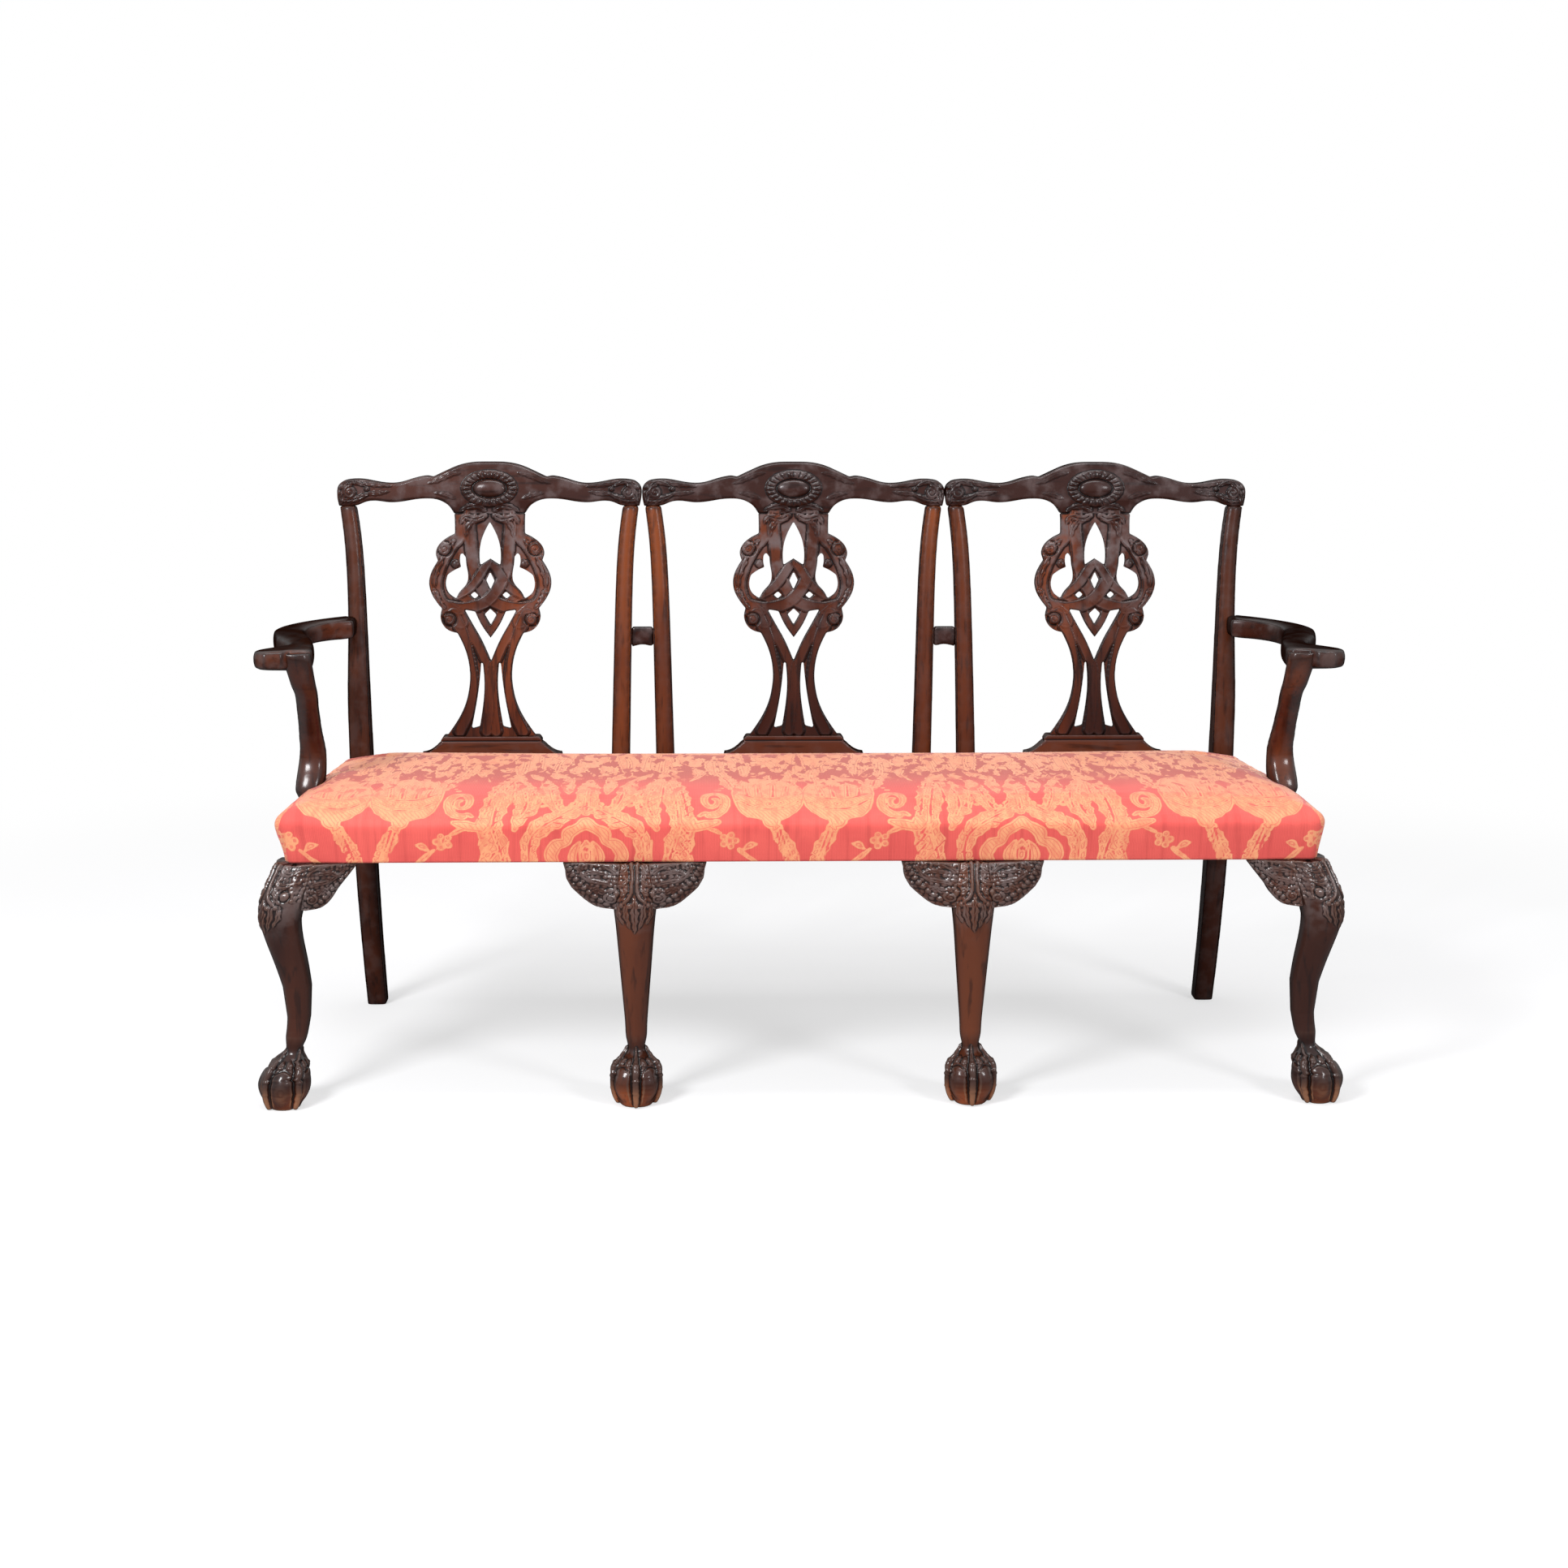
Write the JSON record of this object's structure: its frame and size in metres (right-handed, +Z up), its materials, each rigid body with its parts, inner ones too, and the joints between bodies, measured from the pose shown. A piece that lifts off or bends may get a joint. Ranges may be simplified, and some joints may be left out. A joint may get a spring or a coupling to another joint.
{
  "type": "triple chair-back settee",
  "caption": "Carved mahogany settee with joined chair backs, pierced splats, shaped arms, cabriole legs on ball feet and a tight damask seat.",
  "frame": {"origin": "centre of the settee's box at floor level", "axes": "+X along the settee to the right of someone facing it, +Y from the seat's front towards its back, +Z up"},
  "size_m": [1.7376, 0.6802, 0.9681],
  "materials": {
    "mahogany": "dark polished mahogany",
    "beech": "bare sawn beech",
    "damask": "coral and gold silk damask",
    "stuffing": "horsehair under calico",
    "jute": "woven jute",
    "cambric": "black cambric",
    "steel": "plain steel"
  },
  "bodies": {
    "root": {"arm_left": "mahogany", "arm_right": "mahogany", "arm_screw_left": "steel", "arm_screw_right": "steel", "arm_support_left": "mahogany", "arm_support_right": "mahogany", "corner_block_front_left": "beech", "corner_block_front_right": "beech", "corner_block_rear_left": "beech", "corner_block_rear_right": "beech", "crest_rail_left": "mahogany", "crest_rail_middle": "mahogany", "crest_rail_right": "mahogany", "cross_brace_left": "beech", "cross_brace_right": "beech", "dust_cloth": "cambric", "front_leg_inner_left": "mahogany", "front_leg_inner_right": "mahogany", "front_leg_outer_left": "mahogany", "front_leg_outer_right": "mahogany", "front_rail": "beech", "hessian": "jute", "inner_stile_left_a": "mahogany", "inner_stile_left_b": "mahogany", "inner_stile_right_a": "mahogany", "inner_stile_right_b": "mahogany", "knee_bracket_inner_left_a": "mahogany", "knee_bracket_inner_left_b": "mahogany", "knee_bracket_inner_right_a": "mahogany", "knee_bracket_inner_right_b": "mahogany", "knee_bracket_outer_left_front": "mahogany", "knee_bracket_outer_left_side": "mahogany", "knee_bracket_outer_right_front": "mahogany", "knee_bracket_outer_right_side": "mahogany", "outer_stile_left": "mahogany", "outer_stile_right": "mahogany", "rear_rail": "beech", "seat_cover": "damask", "seat_pad": "stuffing", "side_rail_left": "beech", "side_rail_right": "beech", "splat_left": "mahogany", "splat_middle": "mahogany", "splat_right": "mahogany", "splat_shoe_left": "mahogany", "splat_shoe_middle": "mahogany", "splat_shoe_right": "mahogany", "stile_tie_left": "mahogany", "stile_tie_right": "mahogany", "support_screw_left_lower": "steel", "support_screw_left_upper": "steel", "support_screw_right_lower": "steel", "support_screw_right_upper": "steel", "webbing": "jute"}
  },
  "joints": []
}
